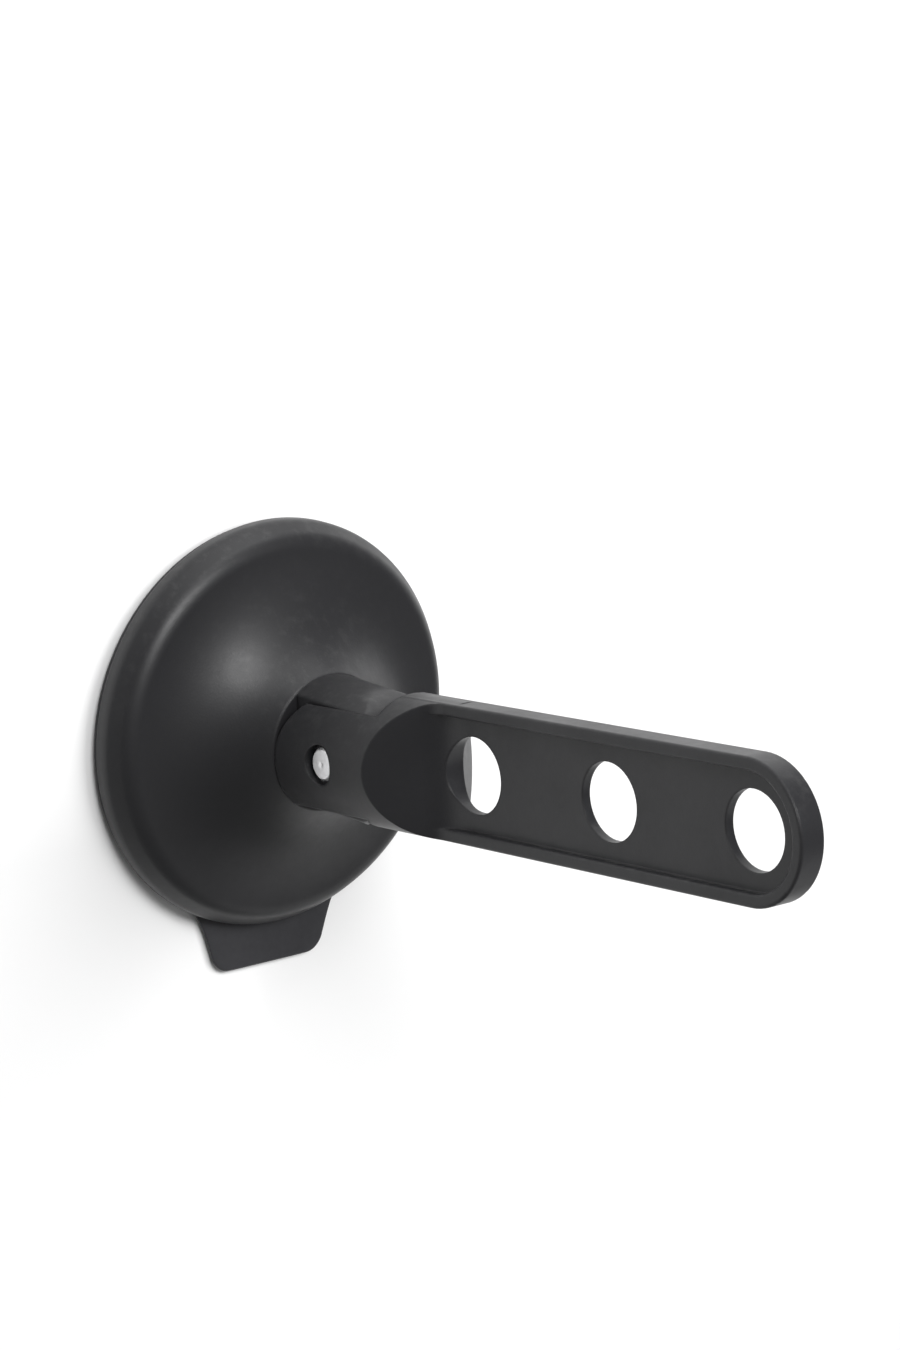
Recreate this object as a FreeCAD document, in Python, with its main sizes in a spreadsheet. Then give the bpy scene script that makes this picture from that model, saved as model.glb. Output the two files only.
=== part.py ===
"""Folding wall hook: a suction cup under a hat-shaped cover, with a flat arm that folds up.

Millimetres. The wall is the plane Y = 0 and the hook stands out of it towards -Y, with +Z up
and X across. The arm carries three holes for coat hangers and turns about a steel pin that
lies along X in the tongue of the cover.
"""
import FreeCAD, Part
import Sketcher
import math
import os

Vector = FreeCAD.Vector
ORIGIN = -1
ACROSS = -1
UPRIGHT = -2

DIMENSIONS = {
    # Cover: a thin hat with a leaning band round its rim, a flare up to the hub and a tongue
    "rim_radius": 40.0,
    "rim_back": 1.8,
    "rim_front": 4.0,
    "rim_corner": 1.5,
    "band_lean": 34.0,
    "crown_radius": 2.5,
    "crown_inset": 4.4,
    "flare_foot_angle": 5.0,
    "hub_radius": 13.3,
    "hub_face": 21.5,
    "hub_roof": 3.5,
    "cover_wall": 2.0,
    "socket_wall": 2.4,
    "socket_lip": 2.0,
    "rib_thick": 1.6,
    "rib_count": 6,
    "tongue_half": 7.7,
    "tongue_inset": 0.35,
    "tongue_edge": 0.5,
    # Suction cup, pressed flat on the wall, with the tab that peels it off
    "lip_inset": 0.6,
    "lip_thick": 1.5,
    "lip_width": 9.4,
    "cup_back_radius": 16.0,
    "cup_back_depth": 4.6,
    "neck_radius": 5.0,
    "head_radius": 7.0,
    "head_thick": 5.0,
    "tab_length": 9.2,
    "tab_root_half": 17.0,
    "tab_end_half": 12.3,
    "tab_corner": 3.0,
    "tab_overlap": 6.0,
    "tab_thick": 1.1,
    "tab_lift": 0.6,
    # Hinge
    "pin_out": 34.8,
    "pin_rise": 0.6,
    "pin_radius": 3.2,
    "pin_show": 0.7,
    "pin_chamfer": 0.5,
    "washer_radius": 6.5,
    "washer_thick": 0.5,
    # Arm
    "arm_half": 12.9,
    "root_step": 0.1,
    "arm_tilt": 5.5,
    "fork_floor": 6.5,
    "pin_seat_radius": 3.8,
    "pin_seat_half": 11.0,
    "tip_reach": 104.8,
    "blade_half": 2.7,
    "web_half": 0.9,
    "rim_width": 2.4,
    "front_wall": 0.5,
    "slant_angle": 48.0,
    "slant_fillet": 6.0,
    "web_fillet": 12.0,
    "hole_radius": 7.15,
    "hole_pitch": 36.6,
    "hole_count": 3,
    "edge_round": 0.5,
    # Clearances
    "running_gap": 0.05,
    "press_gap": 0.02,
    "side_gap": 0.1,
    "seat_gap": 0.2,
    "stop_gap": 0.1,
    "turning_gap": 0.3,
}

# Sizes that follow from the ones above
CROWN_ACROSS = "(rim_radius - crown_inset)"
CROWN_OUT = ("(rim_front + ((crown_inset - rim_corner) * cos(band_lean) + rim_corner - crown_radius)"
             " / sin(band_lean))")
LIP_RADIUS = "(rim_radius - lip_inset)"
TAB_REACH = "(rim_radius + tab_length)"
TAB_ROOT = "(rim_radius - tab_overlap)"
ROOT_RADIUS = "(arm_half + root_step)"
NOSE_RADIUS = "(arm_half + root_step - tongue_inset)"
FORK_DEPTH = "(%s + turning_gap)" % NOSE_RADIUS
CHEEK_BACK = "(pin_out - hub_face - stop_gap)"
SLANT_START = "(%s + front_wall)" % FORK_DEPTH
WINDOW_START = "(%s + %s / tan(slant_angle) + web_fillet)" % (SLANT_START, ROOT_RADIUS)
WINDOW_HALF = "(arm_half - rim_width)"
PIN_HALF = "(pin_seat_half + pin_show)"
HEAD_FRONT = "(hub_face - hub_roof - seat_gap)"
HEAD_BACK = "(%s - head_thick)" % HEAD_FRONT

doc = FreeCAD.newDocument("FoldingWallHook")
sheet = doc.addObject("Spreadsheet::Sheet", "Dims")
for row, (name, size) in enumerate(DIMENSIONS.items(), start=1):
    sheet.set("A%d" % row, name)
    sheet.set("B%d" % row, str(size))
    sheet.setAlias("B%d" % row, name)
doc.recompute()


def bound(expression):
    """Write bare dimension names of an expression as references to the spreadsheet."""
    words = []
    word = ""
    for letter in expression + " ":
        if letter.isalnum() or letter in "_.":
            word += letter
            continue
        words.append("Dims." + word if word in DIMENSIONS else word)
        words.append(letter)
        word = ""
    return "".join(words).strip()


def number(expression):
    """Value of an expression in the spreadsheet's names."""
    return float(sheet.evalExpression(bound(expression)))


def new_body(name):
    body = doc.addObject("PartDesign::Body", name)
    body.Label = name
    return body


def new_sketch(body, name, plane):
    """An empty sketch on one of the body's own origin planes."""
    sketch = body.newObject("Sketcher::SketchObject", name)
    planes = [item for item in body.Origin.OriginFeatures if item.Role == plane]
    sketch.AttachmentSupport = (planes[0], [""])
    sketch.MapMode = "FlatFace"
    return sketch


def bind(sketch, constraint, expression):
    index = sketch.addConstraint(constraint)
    sketch.setExpression("Constraints[%d]" % index, bound(expression))


def pin_point(sketch, shape, end, across, up):
    """Hold one point of a sketch at a place given by two expressions."""
    if across == "0":
        sketch.addConstraint(Sketcher.Constraint("PointOnObject", shape, end, UPRIGHT))
    else:
        size = number(across)
        bind(sketch, Sketcher.Constraint("DistanceX", ORIGIN, 1, shape, end, size), across)
    if up == "0":
        sketch.addConstraint(Sketcher.Constraint("PointOnObject", shape, end, ACROSS))
    else:
        size = number(up)
        bind(sketch, Sketcher.Constraint("DistanceY", ORIGIN, 1, shape, end, size), up)


def draw_outline(sketch, corners):
    """A closed outline. A corner is (across, up) or (across, up, radius, turn).

    With a radius, an arc leads to the next corner: turn 1 is anticlockwise, -1 clockwise.
    An arc between corners one above the other is a half circle, held by its centre.
    """
    spots = [Vector(number(corner[0]), number(corner[1]), 0) for corner in corners]
    shapes = []
    for index, corner in enumerate(corners):
        start = spots[index]
        end = spots[(index + 1) % len(spots)]
        if len(corner) == 2:
            shapes.append(sketch.addGeometry(Part.LineSegment(start, end), False))
            continue
        radius = number(corner[2])
        half = (end - start) * 0.5
        rise = math.sqrt(max(radius ** 2 - half.Length ** 2, 0.0))
        side = Vector(-half.y, half.x, 0).normalize() * rise * corner[3]
        centre = start + half + side
        first, last = (start, end) if corner[3] > 0 else (end, start)
        begin = math.atan2(first.y - centre.y, first.x - centre.x)
        finish = math.atan2(last.y - centre.y, last.x - centre.x)
        circle = Part.Circle(centre, Vector(0, 0, 1), radius)
        shapes.append(sketch.addGeometry(Part.ArcOfCircle(circle, begin, finish), False))
    for index, corner in enumerate(corners):
        forwards = len(corner) == 2 or corner[3] > 0
        after = corners[(index + 1) % len(corners)]
        after_forwards = len(after) == 2 or after[3] > 0
        start_end = 1 if forwards else 2
        own_end = 2 if forwards else 1
        next_start = 1 if after_forwards else 2
        next_shape = shapes[(index + 1) % len(shapes)]
        joint = Sketcher.Constraint("Coincident", shapes[index], own_end, next_shape, next_start)
        sketch.addConstraint(joint)
        pin_point(sketch, shapes[index], start_end, corner[0], corner[1])
        if len(corner) == 4 and corner[0] == after[0]:
            middle = Sketcher.Constraint("DistanceX", ORIGIN, 1, shapes[index], 3, spots[index].x)
            bind(sketch, middle, corner[0])
        elif len(corner) == 4:
            size = number(corner[2])
            bind(sketch, Sketcher.Constraint("Radius", shapes[index], size), corner[2])


def draw_circle(sketch, across, up, radius):
    place = Vector(number(across), number(up), 0)
    circle = Part.Circle(place, Vector(0, 0, 1), number(radius))
    shape = sketch.addGeometry(circle, False)
    pin_point(sketch, shape, 3, across, up)
    bind(sketch, Sketcher.Constraint("Radius", shape, number(radius)), radius)


def revolve(body, kind, name, sketch, axis="V_Axis"):
    """Turn a sketch once round its own upright axis, or round H_Axis, its level one."""
    feature = body.newObject(kind, name)
    feature.Profile = sketch
    feature.ReferenceAxis = (sketch, [axis])
    feature.Angle = 360
    sketch.Visibility = False
    doc.recompute()
    return feature


def extrude(body, kind, name, sketch, length, sides="Symmetric"):
    """Pad or Pocket of a sketch, with its length bound to an expression."""
    feature = body.newObject(kind, name)
    feature.Profile = sketch
    feature.SideType = sides
    feature.Length = number(length)
    feature.setExpression("Length", bound(length))
    sketch.Visibility = False
    doc.recompute()
    return feature


def round_edges(body, name, radius, wanted):
    """Fillet those edges of the body's last feature that a test picks."""
    base = body.Tip
    names = []
    for index, edge in enumerate(base.Shape.Edges, start=1):
        if wanted(edge):
            names.append("Edge%d" % index)
    fillet = body.newObject("PartDesign::Fillet", name)
    fillet.Base = (base, names)
    fillet.Radius = number(radius)
    fillet.setExpression("Radius", bound(radius))
    doc.recompute()
    return fillet


def make_suction_cup():
    """Rubber cup: thin lip, thick back, and a mushroom knob that snaps into the cover."""
    body = new_body("suction_cup")
    profile = new_sketch(body, "cup_profile", "XY_Plane")
    draw_outline(profile, [
        ("0", "0"),
        (LIP_RADIUS, "0"),
        (LIP_RADIUS, "-lip_thick"),
        (LIP_RADIUS + " - lip_width", "-lip_thick"),
        ("cup_back_radius", "-cup_back_depth"),
        ("neck_radius", "-cup_back_depth"),
        ("neck_radius", "-" + HEAD_BACK),
        ("head_radius", "-" + HEAD_BACK),
        ("head_radius", "-(%s + head_thick * 0.5)" % HEAD_BACK),
        ("neck_radius", "-" + HEAD_FRONT),
        ("0", "-" + HEAD_FRONT),
    ])
    revolve(body, "PartDesign::Revolution", "cup_form", profile)

    tab = new_sketch(body, "tab_outline", "XZ_Plane")
    tab.setExpression("AttachmentOffset.Base.z", bound("tab_lift"))
    corner = "tab_corner"
    lean = "((tab_root_half - tab_end_half) / (%s - %s))" % (TAB_REACH, TAB_ROOT)
    draw_outline(tab, [
        ("-tab_root_half", "-" + TAB_ROOT),
        ("-tab_end_half - %s * %s" % (corner, lean), "-%s + %s" % (TAB_REACH, corner), corner, 1),
        ("-tab_end_half + %s * (1 - %s)" % (corner, lean), "-" + TAB_REACH),
        ("tab_end_half - %s * (1 - %s)" % (corner, lean), "-" + TAB_REACH, corner, 1),
        ("tab_end_half + %s * %s" % (corner, lean), "-%s + %s" % (TAB_REACH, corner)),
        ("tab_root_half", "-" + TAB_ROOT),
    ])
    extrude(body, "PartDesign::Pad", "tab_form", tab, "tab_thick", "One side")
    return body


def hat_curve():
    """Centre and radius of the flare's arc in the hat's section: (across, out, radius).

    The arc leaves the crown's arc smoothly at the foot angle and ends on the hub's edge. Both
    centres lie on one line, which gives the distance between them from the hub's place.
    """
    inward = "(%s - hub_radius)" % CROWN_ACROSS
    climb = "(hub_face - %s)" % CROWN_OUT
    reach = ("((%s ^ 2 + %s ^ 2 - crown_radius ^ 2) / 2"
             " / (%s * cos(flare_foot_angle) - %s * sin(flare_foot_angle) - crown_radius))"
             % (inward, climb, climb, inward))
    across = "(%s + %s * sin(flare_foot_angle))" % (CROWN_ACROSS, reach)
    out = "(%s + %s * cos(flare_foot_angle))" % (CROWN_OUT, reach)
    return across, out, "(%s - crown_radius)" % reach


def hat_foot(depth):
    """Point where the crown meets the flare, at a depth inside the outer skin."""
    arm = "(crown_radius - %s)" % depth
    return ("%s + %s * sin(flare_foot_angle)" % (CROWN_ACROSS, arm),
            "-(%s + %s * cos(flare_foot_angle))" % (CROWN_OUT, arm))


def hat_brow(depth):
    """Point where the crown meets the leaning band, at a depth inside the outer skin."""
    arm = "(crown_radius - %s)" % depth
    return ("%s + %s * cos(band_lean)" % (CROWN_ACROSS, arm),
            "-(%s + %s * sin(band_lean))" % (CROWN_OUT, arm))


def on_flare(depth, height):
    """Radius at which the flare, at a depth inside the outer skin, passes a height."""
    across, out, flare = hat_curve()
    return "(%s - sqrt((%s + %s) ^ 2 - (%s - %s) ^ 2))" % (across, flare, depth, out, height)


def cover_profile():
    """Corners of the hat's section as (radius, height); heights are negative, off the wall."""
    flare = hat_curve()[2]
    foot = hat_foot("0")
    inner_foot = hat_foot("cover_wall")
    brow = hat_brow("0")
    inner_brow = hat_brow("cover_wall")
    inner_corner = ("(rim_front + (rim_corner - cover_wall) * (1 - cos(band_lean))"
                    " / sin(band_lean))")
    roof = "(hub_face - hub_roof)"
    socket_outer = "(head_radius + seat_gap + socket_wall)"
    lip_front = "(%s - seat_gap)" % HEAD_BACK
    return [
        ("0", "-hub_face"),
        ("hub_radius", "-hub_face", flare, -1),
        (foot[0], foot[1], "crown_radius", 1),
        (brow[0], brow[1]),
        ("rim_radius - rim_corner * (1 - cos(band_lean))",
         "-(rim_front + rim_corner * sin(band_lean))", "rim_corner", 1),
        ("rim_radius", "-rim_front"),
        ("rim_radius", "-rim_back"),
        ("rim_radius - cover_wall", "-rim_back"),
        ("rim_radius - cover_wall", "-" + inner_corner),
        (inner_brow[0], inner_brow[1], "(crown_radius - cover_wall)", -1),
        (inner_foot[0], inner_foot[1], "(%s + cover_wall)" % flare, 1),
        (on_flare("cover_wall", roof), "-" + roof),
        (socket_outer, "-" + roof),
        (socket_outer, "-(%s - socket_lip)" % lip_front),
        ("neck_radius + seat_gap", "-(%s - socket_lip)" % lip_front),
        ("neck_radius + seat_gap", "-" + lip_front),
        ("head_radius + seat_gap", "-" + lip_front),
        ("head_radius + seat_gap", "-" + roof),
        ("0", "-" + roof),
    ]


def rib_corners():
    """Corners of one rib: buried in the wall's middle above, clear of the cup's back below."""
    middle = "(cover_wall / 2)"
    height = "(hub_face - hub_roof / 2)"
    foot = hat_foot(middle)
    back = "(cup_back_depth + seat_gap)"
    inner = "(head_radius + seat_gap + socket_wall / 2)"
    return [
        (inner, "-" + height),
        (on_flare(middle, height), "-" + height, "(%s + %s)" % (hat_curve()[2], middle), -1),
        (foot[0], foot[1]),
        (foot[0], "-(lip_thick + seat_gap * 2)"),
        (LIP_RADIUS + " - lip_width", "-(lip_thick + seat_gap * 2)"),
        ("cup_back_radius", "-" + back),
        (inner, "-" + back),
    ]


def add_tongue(body):
    """Round bar from the hub to the pin, flat on both sides, with a nose that turns round the pin."""
    section = new_sketch(body, "tongue_section", "XZ_Plane")
    section.setExpression("AttachmentOffset.Base.z", bound("hub_face - hub_roof / 2"))
    half_height = "sqrt(%s ^ 2 - tongue_half ^ 2)" % NOSE_RADIUS
    draw_outline(section, [
        ("tongue_half", "pin_rise - " + half_height),
        ("tongue_half", "pin_rise + " + half_height, NOSE_RADIUS, 1),
        ("-tongue_half", "pin_rise + " + half_height),
        ("-tongue_half", "pin_rise - " + half_height, NOSE_RADIUS, 1),
    ])
    extrude(body, "PartDesign::Pad", "tongue_form", section,
            "pin_out + %s - hub_face + hub_roof / 2" % NOSE_RADIUS, "One side")

    nose = new_sketch(body, "nose_outline", "YZ_Plane")
    beyond = "%s * 2" % NOSE_RADIUS
    draw_outline(nose, [
        ("-pin_out", "pin_rise + " + NOSE_RADIUS, NOSE_RADIUS, 1),
        ("-pin_out", "pin_rise - " + NOSE_RADIUS),
        ("-pin_out", "pin_rise - " + beyond),
        ("-pin_out - " + beyond, "pin_rise - " + beyond),
        ("-pin_out - " + beyond, "pin_rise + " + beyond),
        ("-pin_out", "pin_rise + " + beyond),
    ])
    extrude(body, "PartDesign::Pocket", "nose_cut", nose, "tongue_half * 3")

    beyond_hub = number("-hub_face - seat_gap")
    side = number("tongue_half")

    def along_tongue(edge):
        middle = edge.valueAt((edge.FirstParameter + edge.LastParameter) / 2)
        return middle.y < beyond_hub and abs(abs(middle.x) - side) < 1e-4

    round_edges(body, "tongue_edges", "tongue_edge", along_tongue)

    bore = new_sketch(body, "pin_bore_outline", "YZ_Plane")
    draw_circle(bore, "-pin_out", "pin_rise", "pin_radius + running_gap")
    extrude(body, "PartDesign::Pocket", "pin_bore", bore, "tongue_half * 4")


def make_base_cover():
    """Moulded cover: the hat, its inner socket and ribs, and the round tongue that holds the pin."""
    body = new_body("base_cover")
    profile = new_sketch(body, "hat_profile", "XY_Plane")
    draw_outline(profile, cover_profile())
    revolve(body, "PartDesign::Revolution", "hat_form", profile)

    rib = new_sketch(body, "rib_outline", "XY_Plane")
    draw_outline(rib, rib_corners())
    first_rib = extrude(body, "PartDesign::Pad", "rib_form", rib, "rib_thick")
    ribs = body.newObject("PartDesign::PolarPattern", "ribs")
    ribs.Originals = [first_rib]
    ribs.Axis = (rib, ["V_Axis"])
    ribs.Angle = 360
    ribs.setExpression("Occurrences", bound("rib_count"))
    body.Tip = ribs
    doc.recompute()

    add_tongue(body)
    return body


def make_hinge_pin():
    """Plain steel pin along X, chamfered at both ends."""
    body = new_body("hinge_pin")
    profile = new_sketch(body, "pin_profile", "XY_Plane")
    draw_outline(profile, [
        ("-" + PIN_HALF, "0"),
        ("-" + PIN_HALF, "pin_radius - pin_chamfer"),
        ("-%s + pin_chamfer" % PIN_HALF, "pin_radius"),
        (PIN_HALF + " - pin_chamfer", "pin_radius"),
        (PIN_HALF, "pin_radius - pin_chamfer"),
        (PIN_HALF, "0"),
    ])
    revolve(body, "PartDesign::Revolution", "pin_form", profile, "H_Axis")
    place_at_pin(body)
    return body


def place_at_pin(item, rotation=FreeCAD.Rotation()):
    """Put an object's own origin on the middle of the pin."""
    item.Placement = FreeCAD.Placement(Vector(), rotation)
    item.setExpression("Placement.Base.y", bound("-pin_out"))
    item.setExpression("Placement.Base.z", bound("pin_rise"))


def make_washer(name, side):
    """Friction washer between the tongue and one cheek; side is -1 for -X and 1 for +X."""
    disc = doc.addObject("Part::Cylinder", name + "_disc")
    disc.setExpression("Radius", bound("washer_radius"))
    disc.setExpression("Height", bound("washer_thick"))
    hole = doc.addObject("Part::Cylinder", name + "_hole")
    hole.setExpression("Radius", bound("pin_radius + running_gap"))
    hole.setExpression("Height", bound("washer_thick"))
    washer = doc.addObject("Part::Cut", name)
    washer.Label = name
    washer.Base = disc
    washer.Tool = hole
    place_at_pin(washer, FreeCAD.Rotation(Vector(0, 1, 0), 90 * side))
    washer.setExpression("Placement.Base.x", bound("%d * tongue_half" % side))
    return washer


def side_outline(side, corners):
    """The same outline on the +X side, or mirrored to the -X side."""
    mirrored = []
    for corner in corners:
        across = corner[0] if side > 0 else "-(%s)" % corner[0]
        if len(corner) == 2:
            mirrored.append((across, corner[1]))
        else:
            mirrored.append((across, corner[1], corner[2], corner[3] * side))
    return mirrored


def slant_corners(floor, fillet, far_end):
    """Plan outline of what is cut away beside the blade, down to a floor half-thickness.

    The slant starts on the round root and falls towards the blade; an arc blends it in.
    """
    outside = "(%s * 1.5)" % ROOT_RADIUS
    steep = "tan(slant_angle)"
    foot = "(%s + (%s - %s) / %s)" % (SLANT_START, ROOT_RADIUS, floor, steep)
    blend = "(%s * tan(slant_angle / 2))" % fillet
    return [
        (outside, "-(%s - (%s - %s) / %s)" % (SLANT_START, outside, ROOT_RADIUS, steep)),
        ("%s + %s * sin(slant_angle)" % (floor, blend),
         "-(%s - %s * cos(slant_angle))" % (foot, blend), fillet, 1),
        (floor, "-(%s + %s)" % (foot, blend)),
        (floor, "-(%s)" % far_end),
        (outside, "-(%s)" % far_end),
    ]


def blade_corners(start, half):
    """Side outline of the blade or of its window, round at the tip."""
    return [
        ("-(%s)" % start, half),
        ("-tip_reach", half, half, 1),
        ("-tip_reach", "-(%s)" % half),
        ("-(%s)" % start, "-(%s)" % half),
    ]


def add_blade(body):
    """Raised rim round a thin web, and the solid end that joins the root."""
    rim = new_sketch(body, "rim_outline", "YZ_Plane")
    draw_outline(rim, blade_corners(SLANT_START, "arm_half"))
    draw_outline(rim, blade_corners(WINDOW_START, WINDOW_HALF))
    extrude(body, "PartDesign::Pad", "rim_form", rim, "blade_half * 2")

    outer = number("arm_half")

    def on_outer_edge(edge):
        middle = edge.valueAt((edge.FirstParameter + edge.LastParameter) / 2)
        from_tip = math.hypot(middle.y + number("tip_reach"), middle.z)
        return on_rim_face(middle) and (abs(abs(middle.z) - outer) < 1e-4
                                        or abs(from_tip - outer) < 1e-4)

    round_edges(body, "outer_edges", "edge_round", on_outer_edge)

    web = new_sketch(body, "web_outline", "YZ_Plane")
    draw_outline(web, blade_corners(SLANT_START, "(arm_half - rim_width / 2)"))
    extrude(body, "PartDesign::Pad", "web_form", web, "web_half * 2")


def on_rim_face(point):
    return abs(abs(point.x) - number("blade_half")) < 1e-4


def round_window(body):
    """Soften the recess's edge on both faces of the rim."""
    inner = number(WINDOW_HALF)

    def on_window_edge(edge):
        middle = edge.valueAt((edge.FirstParameter + edge.LastParameter) / 2)
        from_tip = math.hypot(middle.y + number("tip_reach"), middle.z)
        return on_rim_face(middle) and (abs(abs(middle.z) - inner) < 1e-4
                                        or abs(from_tip - inner) < 1e-4)

    round_edges(body, "window_edges", "edge_round", on_window_edge)


def add_root(body):
    """Round root behind the blade, and the slanted hollows that lead from it to the web."""
    section = new_sketch(body, "root_section", "XZ_Plane")
    draw_circle(section, "0", "0", ROOT_RADIUS)
    root = body.newObject("PartDesign::Pad", "root_form")
    root.Profile = section
    root.SideType = "Two sides"
    root.setExpression("Length", bound(
        "%s + (%s - blade_half) / tan(slant_angle) + slant_fillet" % (SLANT_START, ROOT_RADIUS)))
    root.setExpression("Length2", bound(CHEEK_BACK + " * 2"))
    section.Visibility = False
    doc.recompute()

    beside = new_sketch(body, "beside_blade", "XY_Plane")
    for side in (-1, 1):
        draw_outline(beside, side_outline(side, slant_corners(
            "blade_half", "slant_fillet", "tip_reach + arm_half * 2")))
    extrude(body, "PartDesign::Pocket", "beside_blade_cut", beside, ROOT_RADIUS + " * 3")

    hollow = new_sketch(body, "hollow_start", "XY_Plane")
    for side in (-1, 1):
        draw_outline(hollow, side_outline(side, slant_corners(
            "web_half", "web_fillet", WINDOW_START + " + web_fillet")))
    extrude(body, "PartDesign::Pocket", "hollow_cut", hollow, WINDOW_HALF + " * 2")
    round_window(body)


def add_fork(body):
    """Slot for the tongue, open above and behind, and cheeks with a back that clears the hub."""
    beyond = ROOT_RADIUS + " * 1.5"
    slot = new_sketch(body, "fork_outline", "YZ_Plane")
    draw_outline(slot, [
        ("-" + FORK_DEPTH, beyond),
        ("-" + FORK_DEPTH, "0", FORK_DEPTH, 1),
        ("-fork_floor", "-sqrt(%s ^ 2 - fork_floor ^ 2)" % FORK_DEPTH),
        ("-fork_floor", "-" + beyond),
        (CHEEK_BACK + " * 3", "-" + beyond),
        (CHEEK_BACK + " * 3", beyond),
    ])
    extrude(body, "PartDesign::Pocket", "fork_slot", slot,
            "(tongue_half + washer_thick + side_gap) * 2")

    back = new_sketch(body, "cheek_back_outline", "YZ_Plane")
    across = CHEEK_BACK + " * cos(arm_tilt)"
    up = CHEEK_BACK + " * sin(arm_tilt)"
    below = "%s - %s * 2 * cos(arm_tilt)" % (up, ROOT_RADIUS)
    draw_outline(back, [
        ("0", CHEEK_BACK, CHEEK_BACK, -1),
        (across, up),
        ("%s + %s * 2 * sin(arm_tilt)" % (across, ROOT_RADIUS), below),
        (CHEEK_BACK + " * 4", below),
        (CHEEK_BACK + " * 4", "%s + %s" % (CHEEK_BACK, ROOT_RADIUS)),
        ("0", "%s + %s" % (CHEEK_BACK, ROOT_RADIUS)),
    ])
    extrude(body, "PartDesign::Pocket", "cheek_back_cut", back, ROOT_RADIUS + " * 4")

    bore_radius = "pin_radius + press_gap"
    bore = new_sketch(body, "pin_seat_profile", "XY_Plane")
    draw_outline(bore, [
        ("-" + beyond, "0"),
        ("-" + beyond, "pin_seat_radius"),
        ("-pin_seat_half", "pin_seat_radius"),
        ("-pin_seat_half", bore_radius),
        ("pin_seat_half", bore_radius),
        ("pin_seat_half", "pin_seat_radius"),
        (beyond, "pin_seat_radius"),
        (beyond, "0"),
    ])
    revolve(body, "PartDesign::Groove", "pin_seats", bore, "H_Axis")


def add_hanger_holes(body):
    """Row of through holes in the web, the last one on the centre of the round tip."""
    holes = new_sketch(body, "hanger_holes_outline", "YZ_Plane")
    for index in range(int(number("hole_count"))):
        draw_circle(holes, "-(tip_reach - %d * hole_pitch)" % index, "0", "hole_radius")
    extrude(body, "PartDesign::Pocket", "hanger_holes", holes, "blade_half * 4")


def make_arm():
    """Fork, round root and flat blade in one moulding, drawn level and placed at its tilt."""
    body = new_body("arm")
    add_blade(body)
    add_root(body)
    add_fork(body)
    add_hanger_holes(body)
    place_at_pin(body, FreeCAD.Rotation(Vector(-1, 0, 0), number("arm_tilt")))
    body.setExpression("Placement.Rotation.Angle", bound("arm_tilt"))
    return body


subparts = [
    make_suction_cup(),
    make_base_cover(),
    make_hinge_pin(),
    make_washer("washer_left", -1),
    make_washer("washer_right", 1),
    make_arm(),
]
doc.recompute()

for item in doc.Objects:
    if "Invalid" in item.State or "Error" in item.State:
        raise RuntimeError("failed: %s %s" % (item.Name, item.State))
for item in subparts:
    if item.Shape.isNull() or not item.Shape.isValid():
        raise RuntimeError("bad shape: %s" % item.Label)

os.makedirs("parts", exist_ok=True)
for item in subparts:
    item.Shape.exportStep(os.path.join("parts", item.Label + ".step"))
    box = item.Shape.BoundBox
    print(item.Label, len(item.Shape.Solids), "solid", round(item.Shape.Volume, 1), "mm3",
          [round(v, 2) for v in (box.XMin, box.YMin, box.ZMin, box.XMax, box.YMax, box.ZMax)])
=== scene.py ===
"""Looks of the folding wall hook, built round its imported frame.

Metres, in the CAD's own axes: the wall is the plane y = 0, the hook stands out of it towards -y,
+z is up and x runs across. Sizes of the pieces are written in millimetres and scaled by MM.
"""

import bpy
import numpy as np
from mathutils import Matrix, Vector


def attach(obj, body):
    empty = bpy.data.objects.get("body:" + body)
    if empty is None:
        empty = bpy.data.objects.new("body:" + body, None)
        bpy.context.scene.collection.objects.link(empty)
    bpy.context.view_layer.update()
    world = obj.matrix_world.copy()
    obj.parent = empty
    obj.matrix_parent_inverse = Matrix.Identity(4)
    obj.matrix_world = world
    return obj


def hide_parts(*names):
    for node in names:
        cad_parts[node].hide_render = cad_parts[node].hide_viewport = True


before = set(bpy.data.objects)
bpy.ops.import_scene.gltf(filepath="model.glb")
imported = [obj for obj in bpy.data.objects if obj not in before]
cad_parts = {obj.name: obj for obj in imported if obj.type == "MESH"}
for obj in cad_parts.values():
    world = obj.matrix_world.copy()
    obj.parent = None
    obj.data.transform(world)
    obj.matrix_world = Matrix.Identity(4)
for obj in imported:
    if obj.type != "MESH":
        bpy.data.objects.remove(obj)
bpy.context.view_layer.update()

MM = 0.001

# Camera of the photograph: where it stands, its own axes, and its focal length in pixels
CAMERA_SPOT = Vector((-0.41856, -0.57401, 0.19071))
CAMERA_RIGHT = Vector((0.77795, -0.62829, 0.00689))
CAMERA_UP = Vector((0.15066, 0.19716, 0.96873))
CAMERA_BACK = Vector((-0.61000, -0.75258, 0.24804))
FOCAL_PIXELS = 3788.99
FRAME_HEIGHT = 1350
SENSOR = 36.0

# Cover, as in the CAD source; crown and rim corner have larger radii between the same lines,
# and lie up to a quarter of a millimetre inside it
RIM_RADIUS = 40.0
RIM_BACK = 1.8
RIM_FRONT = 3.555
RIM_CORNER = 3.0
BAND_LEAN = np.radians(34.0)
CROWN_RADIUS = 4.4
CROWN_INSET = 5.465
FOOT_ANGLE = np.radians(5.0)
HUB_RADIUS = 13.3
HUB_FACE = 21.5
HUB_ROOF = 3.5
COVER_WALL = 2.0
HOLLOW_WAIST = (24.0, 9.0)
HOLLOW_THROAT = (15.0, 14.5)
HOLLOW_ROOF_RADIUS = 13.0
EDGE_ROUND = 0.45
AXIS_RADIUS = 0.02
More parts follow.
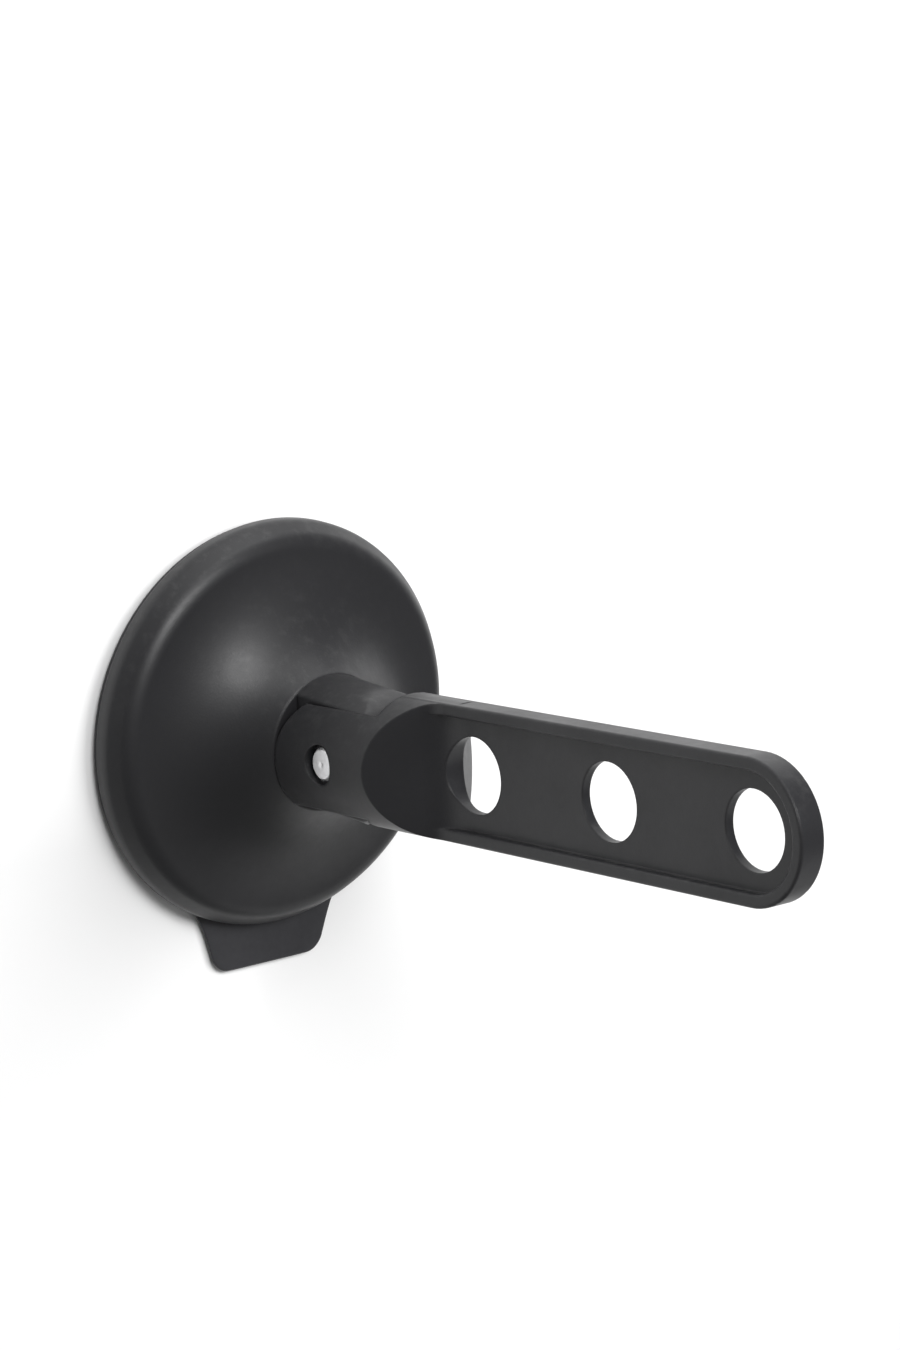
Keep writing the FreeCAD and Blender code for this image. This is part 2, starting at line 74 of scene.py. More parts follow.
# Tongue and hinge
TONGUE_HALF = 7.7
NOSE_RADIUS = 12.65
PIN_OUT = 34.8
PIN_RISE = 0.6
PIN_RADIUS = 3.2
PIN_HALF = 12.1
PIN_FACE_INSET = 0.5
PIN_END_DOME = 0.22
PIN_PIP_DEPTH = 0.16
PIN_PIP_RADIUS = 0.45
PIN_BREAK = 0.12
PIN_BREAK_START = 0.5
PIN_SHANK_START = 0.68
# Suction cup and its tab
LIP_RADIUS = 39.4
LIP_THICK = 1.5
LIP_FLAT = 5.0
LIP_WIDTH = 9.4
DISH_DEPTH = 0.5
DISH_RADIUS = 24.0
DISH_EDGE = (29.0, 0.3)
RING_START = 31.0
RING_END = 38.4
RING_PITCH = 3.7
RING_HALF_HEIGHT = 0.10
CUP_BACK_RADIUS = 16.0
CUP_BACK_DEPTH = 4.6
NECK_RADIUS = 5.0
NECK_OUT = 12.8
HEAD_RADIUS = 7.0
HEAD_OUT = 15.3
HEAD_END = 17.8
SWELL_START = 30.0
SWELL_HEIGHT = 0.55
SWELL_TURN = np.radians(26.0)
TAB_ROOT = 34.0
TAB_REACH = 49.2
TAB_ROOT_HALF = 17.0
TAB_END_HALF = 12.3
TAB_CORNER = 3.0
TAB_THICK = 1.1
TAB_LIFT = 0.6
TAB_ROOT_FLARE = 1.1
TAB_FLARE_REACH = 4.2
TAB_END_HALF_THICK = 0.04
TAB_OVAL_POWER = 0.4
TAB_OVAL_WIDEN = 1.05
# Studio, in metres and watts: the wall's rings, the point that the lamps face, and each lamp's
# place, width, height, power, and whether it is mirrored in the gloss
WALL_RINGS = (0.0384, 0.06, 0.15, 0.5, 4.0)
LAMP_AIM = Vector((0.0, -0.03, 0.0))
LAMPS = {
    "key_box": ((-0.22, -1.08, 0.69), 0.5, 0.5, 10.5, True),
    "top_box": ((0.12, -0.35, 1.15), 1.2, 0.5, 4.4, True),
    "right_box": ((0.46, -0.95, 0.40), 0.6, 0.6, 9.0, False),
    "low_box": ((0.72, -0.54, -0.78), 0.8, 0.8, 1.5, True),
    "back_box": ((-0.55, 0.95, 0.55), 0.8, 0.8, 14.0, True),
}
WORLD_STRENGTH = 0.16


# ---------------------------------------------------------------- shapes

def mesh_object(name, points, faces, body, smooth_angle=32.0):
    """A mesh of the given points (mm) and faces, smooth up to an angle, riding on a CAD body."""
    mesh = bpy.data.meshes.new(name)
    mesh.from_pydata((np.asarray(points) * MM).tolist(), [], faces)
    mesh.validate()
    mesh.shade_smooth()
    mesh.set_sharp_from_angle(angle=np.radians(smooth_angle))
    piece = bpy.data.objects.new(name, mesh)
    bpy.context.collection.objects.link(piece)
    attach(piece, body)
    return piece


def closed_surface(grid, flip=False):
    """Points and faces of a surface given on a grid (rows, columns, 3).

    Columns run once round and close on themselves. The first and the last row are closed by a fan
    of triangles to their own mean point, so that the surface has no hole.
    """
    rows, columns = grid.shape[:2]
    points = np.concatenate([grid.reshape(-1, 3), grid[:1].mean(axis=1), grid[-1:].mean(axis=1)])
    index = np.arange(rows * columns).reshape(rows, columns)
    after = np.roll(index, -1, axis=1)
    quads = np.stack([index[:-1], after[:-1], after[1:], index[1:]], axis=-1).reshape(-1, 4)
    first = np.stack([after[0], index[0], np.full(columns, rows * columns)], axis=-1)
    last = np.stack([index[-1], after[-1], np.full(columns, rows * columns + 1)], axis=-1)
    if flip:
        quads, first, last = quads[:, ::-1], first[:, ::-1], last[:, ::-1]
    return points, quads.tolist() + first.tolist() + last.tolist()


def arc(centre, radius, start, end, steps=12):
    """Points of a circle from one angle to another, angles in radians."""
    turn = np.linspace(start, end, steps)
    return np.stack([centre[0] + radius * np.cos(turn), centre[1] + radius * np.sin(turn)], axis=-1)


def softened(profile, radius, sharp=25.0, steps=6):
    """The polyline with each corner sharper than an angle replaced by an arc.

    At a corner the arc touches both sides at radius x tan(half the turn) from the corner, and its
    points are blended from the two sides by the quadratic (1-t)^2, 2t(1-t), t^2.
    """
    steps_in = profile[1:-1] - profile[:-2]
    steps_out = profile[2:] - profile[1:-1]
    ahead = steps_in / np.linalg.norm(steps_in, axis=1, keepdims=True)
    beyond = steps_out / np.linalg.norm(steps_out, axis=1, keepdims=True)
    turn = np.arccos(np.clip((ahead * beyond).sum(axis=1), -1, 1))
    bend = np.flatnonzero(turn > np.radians(sharp))
    corner = profile[1:-1][bend][:, None]
    reach = (radius * np.tan(turn[bend] / 2))[:, None, None]
    start = corner - ahead[bend][:, None] * reach
    end = corner + beyond[bend][:, None] * reach
    t = np.linspace(0, 1, steps)[None, :, None]
    arcs = (1 - t) ** 2 * start + 2 * t * (1 - t) * corner + t ** 2 * end
    before_each = np.repeat(bend + 1, steps)
    kept = np.delete(profile, bend + 1, axis=0)
    slots = before_each - np.repeat(np.arange(bend.size), steps)
    return np.insert(kept, slots, arcs.reshape(-1, 2), axis=0)


def turned(profile, steps=288, swell=None):
    """Grid of a profile of (radius, out) turned once round the y axis.

    A point is (radius cos a, -out, radius sin a). Swell, if given, adds a length to the radius
    that depends on the profile's own weight and on the angle a.
    """
    around = np.linspace(0, 2 * np.pi, steps, endpoint=False)
    radius = np.repeat(profile[:, :1], steps, axis=1)
    if swell is not None:
        radius = radius + swell(profile)[:, None] * swell_round_tab(around)[None]
    out = np.repeat(profile[:, 1:2], steps, axis=1)
    return np.stack([radius * np.cos(around), -out, radius * np.sin(around)], axis=-1)


def flare_circle():
    """Centre (radius, out) and radius of the flare's arc in the hat's section, as in the CAD.

    Crown and flare touch at the foot angle, so their centres lie on one line. The distance
    between them follows from the flare passing through the hub's edge.
    """
    crown = crown_centre()
    inward = crown[0] - HUB_RADIUS
    climb = HUB_FACE - crown[1]
    reach = ((inward ** 2 + climb ** 2 - CROWN_RADIUS ** 2) / 2
             / (climb * np.cos(FOOT_ANGLE) - inward * np.sin(FOOT_ANGLE) - CROWN_RADIUS))
    centre = (crown[0] + reach * np.sin(FOOT_ANGLE), crown[1] + reach * np.cos(FOOT_ANGLE))
    return centre, reach - CROWN_RADIUS


def crown_centre():
    """Centre of the crown's arc: the leaning band touches both it and the rim's corner."""
    rise = ((CROWN_INSET - RIM_CORNER) * np.cos(BAND_LEAN) + RIM_CORNER - CROWN_RADIUS)
    return (RIM_RADIUS - CROWN_INSET, RIM_FRONT + rise / np.sin(BAND_LEAN))


def hat_outer_profile():
    """(radius, out) from the hub's middle over flare, crown, band and rim to the rim's back."""
    centre, flare = flare_circle()
    crown = crown_centre()
    at_hub = np.arctan2(HUB_FACE - centre[1], HUB_RADIUS - centre[0])
    at_foot = -np.pi / 2 - FOOT_ANGLE
    at_hub = at_hub - 2 * np.pi if at_hub > 0 else at_hub
    return np.concatenate([
        [(AXIS_RADIUS, HUB_FACE), (HUB_RADIUS * 0.6, HUB_FACE)],
        arc(centre, flare, at_hub, at_foot, 72),
        arc(crown, CROWN_RADIUS, np.pi / 2 - FOOT_ANGLE, BAND_LEAN, 16)[1:],
        arc((RIM_RADIUS - RIM_CORNER, RIM_FRONT), RIM_CORNER, BAND_LEAN, 0, 10),
        [(RIM_RADIUS, RIM_BACK)],
    ])


def make_cover_hat():
    """Turned shell: the outer profile, the rim's back edge, and a plain hollow behind."""
    crown = crown_centre()
    roof = HUB_FACE - HUB_ROOF
    inside = np.array([
        (RIM_RADIUS - COVER_WALL, RIM_BACK),
        (RIM_RADIUS - COVER_WALL, RIM_FRONT),
        crown,
        HOLLOW_WAIST,
        HOLLOW_THROAT,
        (HOLLOW_ROOF_RADIUS, roof),
        (AXIS_RADIUS, roof),
    ])
    profile = softened(np.concatenate([hat_outer_profile(), inside]), EDGE_ROUND)
    points, faces = closed_surface(turned(profile), flip=True)
    return mesh_object("cover_hat", points, faces, "base")


def make_cover_tongue():
    """Round bar with two flat sides and a nose that is round about the pin.

    For each x the bar's half height is h = sqrt(R^2 - x^2). A curve in the plane of that x runs
    forwards along the top at height h, then round the nose at R about the pin from the angle
    asin(h / R) down to minus that, and back along the bottom. The two end planes are the flats.
    """
    across = np.linspace(-1, 1, 41) * TONGUE_HALF
    half = np.sqrt(NOSE_RADIUS ** 2 - across ** 2)
    back = HUB_FACE - HUB_ROOF / 2
    lengths = np.linspace(0, 1, 10)[:-1]
    top_out = back + (PIN_OUT + np.abs(across)[:, None] - back) * lengths[None]
    corner = np.arcsin(half / NOSE_RADIUS)
    turn = corner[:, None] * np.linspace(1, -1, 49)[None]
    nose_out = PIN_OUT + NOSE_RADIUS * np.cos(turn)
    nose_up = NOSE_RADIUS * np.sin(turn)
    out = np.concatenate([top_out, nose_out, top_out[:, ::-1]], axis=1)
    level = np.repeat(half[:, None], lengths.size, axis=1)
    up = np.concatenate([level, nose_up, -level], axis=1) + PIN_RISE
    side = np.repeat(across[:, None], out.shape[1], axis=1)
    grid = np.stack([side, -out, up], axis=-1)
    points, faces = closed_surface(grid)
    tongue = mesh_object("cover_tongue", points, faces, "base")
    edges = tongue.modifiers.new("edge_round", "BEVEL")
    edges.width = EDGE_ROUND * MM
    edges.segments = 4
    edges.limit_method = "ANGLE"
    edges.angle_limit = np.radians(40.0)
    return tongue


def swell_round_tab(around):
    """How far the lip swells out beside the tab: a bell exp(-(turn / width)^2) round straight
    down, where turn is the angle from there."""
    from_tab = np.abs(np.angle(np.exp(1j * (around + np.pi / 2))))
    return SWELL_HEIGHT * np.exp(-(from_tab / SWELL_TURN) ** 2)


def make_cup_skirt():
    """Rubber cup turned from its section: dish, two sealing rings, lip, thick back and knob.

    The rings are h (1 - cos(2 pi (r - start) / pitch)) high. The lip's edge is a half circle, and
    the lip swells a little beside the tab.
    """
    rings = np.linspace(RING_START, RING_END, 45)
    ring_out = RING_HALF_HEIGHT * (1 - np.cos((rings - RING_START) / RING_PITCH * 2 * np.pi))
    edge = LIP_THICK / 2
    profile = np.concatenate([
        [(AXIS_RADIUS, DISH_DEPTH), (DISH_RADIUS, DISH_DEPTH), DISH_EDGE],
        np.stack([rings, ring_out], axis=-1),
        arc((LIP_RADIUS - edge, edge), edge, -np.pi / 2, np.pi / 2, 14),
        [(LIP_RADIUS - LIP_FLAT, LIP_THICK), (LIP_RADIUS - LIP_WIDTH, LIP_THICK),
         (CUP_BACK_RADIUS, CUP_BACK_DEPTH), (NECK_RADIUS, CUP_BACK_DEPTH),
         (NECK_RADIUS, NECK_OUT), (HEAD_RADIUS, NECK_OUT), (HEAD_RADIUS, HEAD_OUT),
         (NECK_RADIUS, HEAD_END), (AXIS_RADIUS, HEAD_END)],
    ])

    def near_lip(section):
        return np.clip((section[:, 0] - SWELL_START) / (LIP_RADIUS - SWELL_START), 0, 1)

    points, faces = closed_surface(turned(profile, swell=near_lip))
    return mesh_object("cup_skirt", points, faces, "base")


def make_peel_tab():
    """Tab carried along z: at each depth d below the root its section is a flat oval.

    The half width falls in a line from root to end, with a bell exp(-(d / reach)^2) added at the
    root. Within a corner radius c of the end, at a distance e from it, it is drawn in by
    c - sqrt(c^2 - (c - e)^2). The half thickness falls in the same way in the last half
    thickness. Round the oval, x follows cos a to the power 0.4 and the thickness follows sin a.
    """
    length = TAB_REACH - TAB_ROOT
    round_end = TAB_CORNER * (1 - np.sin(np.linspace(0, np.pi / 2, 22)))
    depth = np.concatenate([np.linspace(0, 1, 16)[:-1] * (length - TAB_CORNER),
                            length - round_end])
    to_end = length - depth
    half_width = (TAB_ROOT_HALF + (TAB_END_HALF - TAB_ROOT_HALF) * depth / length
                  + TAB_ROOT_FLARE * np.exp(-(depth / TAB_FLARE_REACH) ** 2))
    into_corner = np.clip(TAB_CORNER - to_end, 0, TAB_CORNER)
    half_width = half_width - (TAB_CORNER - np.sqrt(TAB_CORNER ** 2 - into_corner ** 2))
    edge = TAB_THICK / 2
    into_edge = np.clip(edge - to_end, 0, edge)
    half_thick = np.maximum(np.sqrt(edge ** 2 - into_edge ** 2), TAB_END_HALF_THICK)
    around = np.linspace(0, 2 * np.pi, 96, endpoint=False)
    cosine, sine = np.cos(around), np.sin(around)
    flat_x = np.sign(cosine) * np.abs(cosine) ** TAB_OVAL_POWER
    flat_x = np.clip(flat_x * TAB_OVAL_WIDEN, -1, 1)
    x = (half_width - edge)[:, None] * flat_x[None] + edge * cosine[None]
    out = TAB_LIFT + edge + half_thick[:, None] * sine[None]
    z = np.repeat(-(TAB_ROOT + depth)[:, None], around.size, axis=1)
    points, faces = closed_surface(np.stack([x, -out, z], axis=-1))
    return mesh_object("peel_tab", points, faces, "base")


def make_turned_pin():
    """Pin turned about x: a slightly domed end, a small centre pip, a broken edge and a shank.

    The end lies at half - dome (r / R)^2 - pip exp(-(r / pip radius)^2), and the far end is its
    mirror.
    """
    face = np.linspace(AXIS_RADIUS, PIN_RADIUS - PIN_FACE_INSET, 18)
    dome = (PIN_HALF - PIN_END_DOME * (face / PIN_RADIUS) ** 2
            - PIN_PIP_DEPTH * np.exp(-(face / PIN_PIP_RADIUS) ** 2))
    end = np.stack([face, dome], axis=-1)
    broken = np.array([(PIN_RADIUS - PIN_BREAK, PIN_HALF - PIN_BREAK_START),
                       (PIN_RADIUS, PIN_HALF - PIN_SHANK_START)])
    half = np.concatenate([end, broken])
    profile = np.concatenate([half, half[::-1] * np.array([1, -1])])
    around = np.linspace(0, 2 * np.pi, 96, endpoint=False)
    radius, along = profile[:, :1], np.repeat(profile[:, 1:], around.size, axis=1)
    grid = np.stack([along, -PIN_OUT + radius * np.cos(around), PIN_RISE + radius * np.sin(around)],
                    axis=-1)
    points, faces = closed_surface(grid, flip=True)
    return mesh_object("turned_pin", points, faces, "arm")


# ---------------------------------------------------------------- shared effects

def new_group(name, inputs, outputs):
    """An empty node group. Inputs and outputs are (name, socket type, default or None)."""
    group = bpy.data.node_groups.new(name, "ShaderNodeTree")
    for side, sockets in (("INPUT", inputs), ("OUTPUT", outputs)):
        for label, kind, default in sockets:
            socket = group.interface.new_socket(name=label, in_out=side, socket_type=kind)
            if default is not None:
                socket.default_value = default
    return group, group.nodes.new("NodeGroupInput"), group.nodes.new("NodeGroupOutput")


def math_node(nodes, links, operation, first, second, clamp=False):
    """A Math node whose inputs are numbers or sockets; gives its output socket."""
    node = nodes.new("ShaderNodeMath")
    node.operation = operation
    node.use_clamp = clamp
    for slot, value in zip(node.inputs, (first, second)):
        if isinstance(value, (int, float)):
            slot.default_value = value
        else:
            links.new(value, slot)
    return node.outputs[0]


def noise_node(nodes, links, vector, scale, detail, roughness=0.5):
    """Noise with a scale that is a number or a socket; gives its Fac socket."""
    node = nodes.new("ShaderNodeTexNoise")
    node.inputs["Detail"].default_value = detail
    node.inputs["Roughness"].default_value = roughness
    if isinstance(scale, (int, float)):
        node.inputs["Scale"].default_value = scale
    else:
        links.new(scale, node.inputs["Scale"])
    links.new(vector, node.inputs["Vector"])
    return node.outputs["Fac"]


def range_node(nodes, links, value, low, high, to_low, to_high):
    """Map Range with plain numbers or sockets for its four limits."""
    node = nodes.new("ShaderNodeMapRange")
    links.new(value, node.inputs["Value"])
    names = ("From Min", "From Max", "To Min", "To Max")
    for name, limit in zip(names, (low, high, to_low, to_high)):
        if isinstance(limit, (int, float)):
            node.inputs[name].default_value = limit
        else:
            links.new(limit, node.inputs[name])
    return node.outputs["Result"]


def mix_colour(nodes, links, factor, first, second):
    """Mix of two colours, each a socket or plain numbers; gives its output socket."""
    node = nodes.new("ShaderNodeMix")
    node.data_type = "RGBA"
    links.new(factor, node.inputs["Factor"])
    for label, value in (("A", first), ("B", second)):
        if isinstance(value, tuple):
            node.inputs[label].default_value = value
        else:
            links.new(value, node.inputs[label])
    return node.outputs["Result"]


def make_moulded_skin():
    """Spark-eroded skin of a moulding: fine pimples, slow mottling of tone and of gloss."""
    group, given, result = new_group(
        "moulded_skin",
        [("Dark Tone", "NodeSocketColor", None), ("Light Tone", "NodeSocketColor", None),
         ("Grain Scale", "NodeSocketFloat", 2600.0), ("Mottle Scale", "NodeSocketFloat", 55.0),
         ("Roughness Low", "NodeSocketFloat", 0.36), ("Roughness High", "NodeSocketFloat", 0.46)],
        [("Color", "NodeSocketColor", None), ("Roughness", "NodeSocketFloat", None),
         ("Height", "NodeSocketFloat", None)])
    nodes, links = group.nodes, group.links
    place = nodes.new("ShaderNodeTexCoord").outputs["Object"]
    grain = noise_node(nodes, links, place, given.outputs["Grain Scale"], 3.0, 0.6)
    pimples = nodes.new("ShaderNodeTexVoronoi")
    pimples.feature = "SMOOTH_F1"
    links.new(place, pimples.inputs["Vector"])
    links.new(given.outputs["Grain Scale"], pimples.inputs["Scale"])
    mottle = noise_node(nodes, links, place, given.outputs["Mottle Scale"], 4.0, 0.55)
    fine = noise_node(nodes, links, place, 700.0, 2.0)
    tone = math_node(nodes, links, "ADD",
                     math_node(nodes, links, "MULTIPLY", mottle, 0.7),
                     math_node(nodes, links, "MULTIPLY", fine, 0.3))
    tone = range_node(nodes, links, tone, 0.35, 0.65, 0.0, 1.0)
    links.new(mix_colour(nodes, links, tone, given.outputs["Dark Tone"],
                         given.outputs["Light Tone"]), result.inputs["Color"])
    links.new(range_node(nodes, links, tone, 0.0, 1.0, given.outputs["Roughness High"],
                         given.outputs["Roughness Low"]), result.inputs["Roughness"])
    height = math_node(nodes, links, "ADD", grain,
                       math_node(nodes, links, "MULTIPLY", pimples.outputs["Distance"], 0.6))
    links.new(height, result.inputs["Height"])
    return group


def make_rubbed_edges():
    """Mask of the edges, where the bevelled normal leaves the true one, broken up by noise."""
    group, given, result = new_group(
        "rubbed_edges",
        [("Edge Width", "NodeSocketFloat", 0.0006), ("Noise Scale", "NodeSocketFloat", 180.0)],
        [("Mask", "NodeSocketFloat", None), ("Normal", "NodeSocketVector", None)])
    nodes, links = group.nodes, group.links
    bevel = nodes.new("ShaderNodeBevel")
    bevel.samples = 4
    links.new(given.outputs["Edge Width"], bevel.inputs["Radius"])
    surface = nodes.new("ShaderNodeNewGeometry")
    likeness = nodes.new("ShaderNodeVectorMath")
    likeness.operation = "DOT_PRODUCT"
    links.new(bevel.outputs["Normal"], likeness.inputs[0])
    links.new(surface.outputs["Normal"], likeness.inputs[1])
    edge = range_node(nodes, links, likeness.outputs["Value"], 0.995, 0.88, 0.0, 1.0)
    place = nodes.new("ShaderNodeTexCoord").outputs["Object"]
    broken = noise_node(nodes, links, place, given.outputs["Noise Scale"], 3.0)
    broken = range_node(nodes, links, broken, 0.35, 0.65, 0.25, 1.0)
    links.new(math_node(nodes, links, "MULTIPLY", edge, broken, True), result.inputs["Mask"])
    links.new(bevel.outputs["Normal"], result.inputs["Normal"])
    return group


def make_settled_dust():
    """Mask of fine dust: more where the surface faces up, in small flecks."""
    group, given, result = new_group(
        "settled_dust",
        [("Amount", "NodeSocketFloat", 0.3), ("Fleck Scale", "NodeSocketFloat", 420.0)],
        [("Mask", "NodeSocketFloat", None)])
    nodes, links = group.nodes, group.links
    coordinates = nodes.new("ShaderNodeTexCoord")
    split = nodes.new("ShaderNodeSeparateXYZ")
    links.new(coordinates.outputs["Normal"], split.inputs[0])
    upward = range_node(nodes, links, split.outputs["Z"], 0.1, 1.0, 0.05, 1.0)
    flecks = noise_node(nodes, links, coordinates.outputs["Object"],
                        given.outputs["Fleck Scale"], 5.0, 0.7)
    flecks = range_node(nodes, links, flecks, 0.5, 0.75, 0.0, 1.0)
    mask = math_node(nodes, links, "MULTIPLY", upward, flecks)
    links.new(math_node(nodes, links, "MULTIPLY", mask, given.outputs["Amount"]),
              result.inputs["Mask"])
    return group


# ---------------------------------------------------------------- materials

def grey(value, blue=1.0):
    """Linear grey whose blue is scaled, as four numbers."""
    return (value, value, value * blue, 1.0)


def place_group(nodes, group, values):
    """Place a shared effect in a material, with the material's own values."""
    node = nodes.new("ShaderNodeGroup")
    node.node_tree = group
    for name, value in values.items():
        node.inputs[name].default_value = value
    return node


def moulded_material(name, groups, dark, light, rough, grain, relief, worn, dust, specular):
    """Moulded plastic or rubber: grained skin, edges rubbed smoother and a trace of dust.

    Dark, light and worn are greys, rough is the lowest and the highest roughness, grain is the
    pimples' scale, and relief and dust are strengths.
    """
    material = bpy.data.materials.new(name)
    material.use_nodes = True
    nodes, links = material.node_tree.nodes, material.node_tree.links
    shader = nodes["Principled BSDF"]
    shader.inputs["Specular IOR Level"].default_value = specular
    skin = place_group(nodes, groups["skin"], {
        "Dark Tone": grey(dark, 1.10), "Light Tone": grey(light, 1.10), "Grain Scale": grain,
        "Roughness Low": rough[0], "Roughness High": rough[1]})
    edges = place_group(nodes, groups["edges"], {})
    film = place_group(nodes, groups["dust"], {"Amount": dust})
    rubbed = math_node(nodes, links, "MULTIPLY", edges.outputs["Mask"], 0.5)
    colour = mix_colour(nodes, links, rubbed, skin.outputs["Color"], grey(worn, 1.02))
    colour = mix_colour(nodes, links, film.outputs["Mask"], colour, grey(0.25, 0.97))
    links.new(colour, shader.inputs["Base Color"])
    smoother = math_node(nodes, links, "MULTIPLY", edges.outputs["Mask"], 0.06)
    roughness = math_node(nodes, links, "SUBTRACT", skin.outputs["Roughness"], smoother)
    links.new(roughness, shader.inputs["Roughness"])
    bump = nodes.new("ShaderNodeBump")
    bump.inputs["Strength"].default_value = relief
    bump.inputs["Distance"].default_value = 0.00003
    links.new(skin.outputs["Height"], bump.inputs["Height"])
    links.new(edges.outputs["Normal"], bump.inputs["Normal"])
    links.new(bump.outputs["Normal"], shader.inputs["Normal"])
    return material


def turned_steel():
    """Bare steel faced on a lathe: fine rings about the pin's axis and faint blotches."""
    material = bpy.data.materials.new("pin_steel")
    material.use_nodes = True
    nodes, links = material.node_tree.nodes, material.node_tree.links
    shader = nodes["Principled BSDF"]
    shader.inputs["Metallic"].default_value = 1.0
    place = nodes.new("ShaderNodeTexCoord").outputs["Object"]
    centred = nodes.new("ShaderNodeMapping")
    centred.inputs["Location"].default_value = (0.0, PIN_OUT * MM, -PIN_RISE * MM)
    links.new(place, centred.inputs["Vector"])
    flat = nodes.new("ShaderNodeVectorMath")
    flat.operation = "MULTIPLY"
    flat.inputs[1].default_value = (0.0, 1.0, 1.0)
    links.new(centred.outputs["Vector"], flat.inputs[0])
    length = nodes.new("ShaderNodeVectorMath")
    length.operation = "LENGTH"
    links.new(flat.outputs[0], length.inputs[0])
    rings = nodes.new("ShaderNodeTexNoise")
    rings.noise_dimensions = "1D"
    rings.inputs["Scale"].default_value = 9000.0
    rings.inputs["Detail"].default_value = 3.0
    links.new(length.outputs["Value"], rings.inputs["W"])
    blotches = noise_node(nodes, links, place, 900.0, 3.0)
    ramp = nodes.new("ShaderNodeValToRGB")
    ramp.color_ramp.elements[0].position = 0.3
    ramp.color_ramp.elements[0].color = grey(0.86, 1.01)
    ramp.color_ramp.elements[1].position = 0.7
    ramp.color_ramp.elements[1].color = grey(0.95, 1.01)
    links.new(blotches, ramp.inputs["Fac"])
    links.new(ramp.outputs["Color"], shader.inputs["Base Color"])
    links.new(range_node(nodes, links, rings.outputs["Fac"], 0.3, 0.7, 0.44, 0.56),
              shader.inputs["Roughness"])
    bump = nodes.new("ShaderNodeBump")
    bump.inputs["Strength"].default_value = 0.25
    bump.inputs["Distance"].default_value = 0.00002
    links.new(rings.outputs["Fac"], bump.inputs["Height"])
    links.new(bump.outputs["Normal"], shader.inputs["Normal"])
    return material


# ---------------------------------------------------------------- studio

def set_up_camera():
    """Camera of the photograph, from its place, its axes and its focal length in pixels."""
    lens = bpy.data.cameras.new("photo_lens")
    lens.sensor_fit = "AUTO"
    lens.sensor_width = SENSOR
    lens.lens = FOCAL_PIXELS / FRAME_HEIGHT * SENSOR
    camera = bpy.data.objects.new("photo_camera", lens)
    turn = Matrix((CAMERA_RIGHT, CAMERA_UP, CAMERA_BACK)).transposed().to_4x4()
    camera.matrix_world = Matrix.Translation(CAMERA_SPOT) @ turn
    bpy.context.collection.objects.link(camera)
    bpy.context.scene.camera = camera


def soft_box(name, spot, width, height, power, mirrored):
    """Rectangular lamp at a spot, facing the cover."""
    light = bpy.data.lights.new(name, "AREA")
    light.shape = "RECTANGLE"
    light.size = width
    light.size_y = height
    light.energy = power
    lamp = bpy.data.objects.new(name, light)
    lamp.location = spot
    lamp.rotation_mode = "QUATERNION"
    lamp.rotation_quaternion = (LAMP_AIM - Vector(spot)).to_track_quat("-Z", "Y")
    lamp.visible_glossy = mirrored
    bpy.context.collection.objects.link(lamp)


def make_wall():
    """Plain white wall that keeps the shadow, seen through from its far side.

    It is a flat ring about the cup, points (r cos a, 0, r sin a). The cup hides its opening, which
    lets light from behind reach the cup's own back.
    """
    around = np.linspace(0, 2 * np.pi, 96, endpoint=False)
    radius = np.array(WALL_RINGS)[:, None]
    x, z = radius * np.cos(around), radius * np.sin(around)
    points = np.stack([x, np.zeros_like(x), z], axis=-1).reshape(-1, 3)
    index = np.arange(points.shape[0]).reshape(-1, around.size)
    after = np.roll(index, -1, axis=1)
    faces = np.stack([index[:-1], index[1:], after[1:], after[:-1]], axis=-1).reshape(-1, 4)
    mesh = bpy.data.meshes.new("wall")
    mesh.from_pydata(points.tolist(), [], faces.tolist())
    wall = bpy.data.objects.new("wall", mesh)
    bpy.context.collection.objects.link(wall)
    paint = bpy.data.materials.new("white_wall")
    paint.use_nodes = True
    nodes, links = paint.node_tree.nodes, paint.node_tree.links
    shader = nodes["Principled BSDF"]
    shader.inputs["Roughness"].default_value = 0.9
    shader.inputs["Specular IOR Level"].default_value = 0.0
    place = nodes.new("ShaderNodeTexCoord").outputs["Object"]
    mottle = noise_node(nodes, links, place, 30.0, 3.0)
    ramp = nodes.new("ShaderNodeValToRGB")
    ramp.color_ramp.elements[0].color = grey(0.885)
    ramp.color_ramp.elements[1].color = grey(0.895)
    links.new(mottle, ramp.inputs["Fac"])
    links.new(ramp.outputs["Color"], shader.inputs["Base Color"])
    clear = nodes.new("ShaderNodeBsdfTransparent")
    far_side = nodes.new("ShaderNodeMixShader")
    links.new(nodes.new("ShaderNodeNewGeometry").outputs["Backfacing"], far_side.inputs[0])
    links.new(shader.outputs[0], far_side.inputs[1])
    links.new(clear.outputs[0], far_side.inputs[2])
    links.new(far_side.outputs[0], nodes["Material Output"].inputs["Surface"])
    mesh.materials.append(paint)


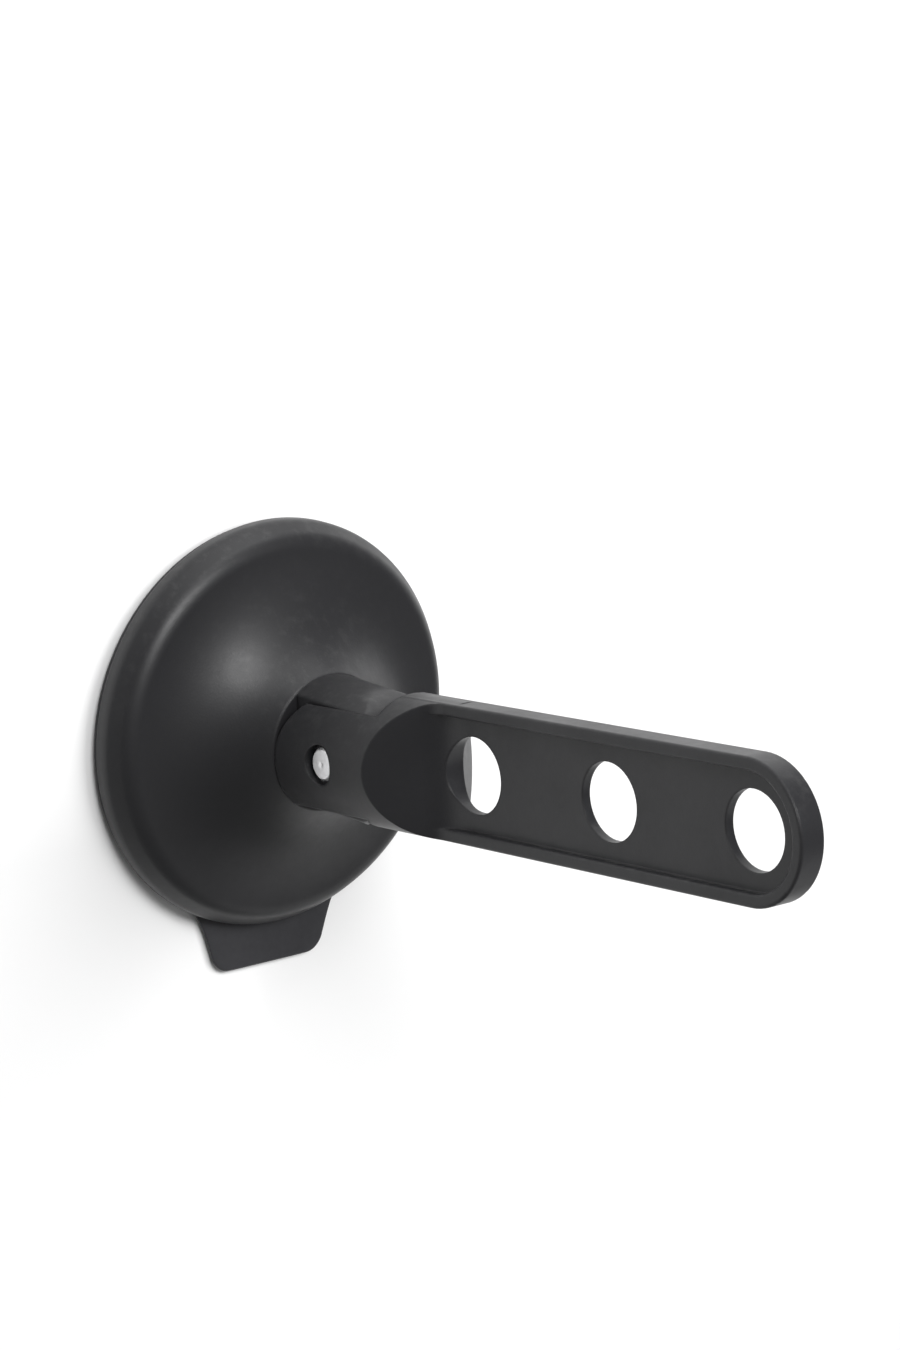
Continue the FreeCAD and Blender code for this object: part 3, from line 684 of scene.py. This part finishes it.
def light_studio():
    """Pale even world and the lamps."""
    world = bpy.data.worlds.new("studio")
    world.use_nodes = True
    background = world.node_tree.nodes["Background"]
    background.inputs["Color"].default_value = (1, 1, 1, 1)
    background.inputs["Strength"].default_value = WORLD_STRENGTH
    bpy.context.scene.world = world
    bpy.context.scene.view_settings.view_transform = "Standard"
    for name, (spot, width, height, power, mirrored) in LAMPS.items():
        soft_box(name, spot, width, height, power, mirrored)


# ---------------------------------------------------------------- dressing

set_up_camera()
light_studio()
make_wall()

groups = {"skin": make_moulded_skin(), "edges": make_rubbed_edges(), "dust": make_settled_dust()}
cover_plastic = moulded_material(
    "cover_plastic", groups, dark=0.0148, light=0.0172, rough=(0.38, 0.46), grain=2600.0,
    relief=0.35, worn=0.032, dust=0.10, specular=0.46)
arm_plastic = moulded_material(
    "arm_plastic", groups, dark=0.0170, light=0.0198, rough=(0.36, 0.44), grain=2600.0,
    relief=0.35, worn=0.04, dust=0.10, specular=0.35)
cup_rubber = moulded_material(
    "cup_rubber", groups, dark=0.0310, light=0.0375, rough=(0.48, 0.58), grain=1800.0,
    relief=0.5, worn=0.045, dust=0.15, specular=0.35)
washer_plastic = moulded_material(
    "washer_plastic", groups, dark=0.008, light=0.011, rough=(0.45, 0.55), grain=3000.0,
    relief=0.3, worn=0.02, dust=0.05, specular=0.5)
pin_steel = turned_steel()


def dress(piece, material, slot, *nodes):
    """Give a piece its material and hide the CAD nodes that it stands for. The slot is not used."""
    piece.data.materials.clear()
    piece.data.materials.append(material)
    if nodes:
        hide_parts(*nodes)


dress(make_cover_hat(), cover_plastic, "cover_plastic", "base_cover")
dress(make_cover_tongue(), cover_plastic, "cover_plastic", "base_cover")
dress(make_cup_skirt(), cup_rubber, "cup_rubber", "suction_cup")
dress(make_peel_tab(), cup_rubber, "cup_rubber", "suction_cup")
dress(make_turned_pin(), pin_steel, "pin_steel", "hinge_pin")
for name, material in (("arm", arm_plastic), ("washer_left", washer_plastic),
                       ("washer_right", washer_plastic)):
    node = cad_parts[name]
    node.data.materials.clear()
    node.data.materials.append(material)
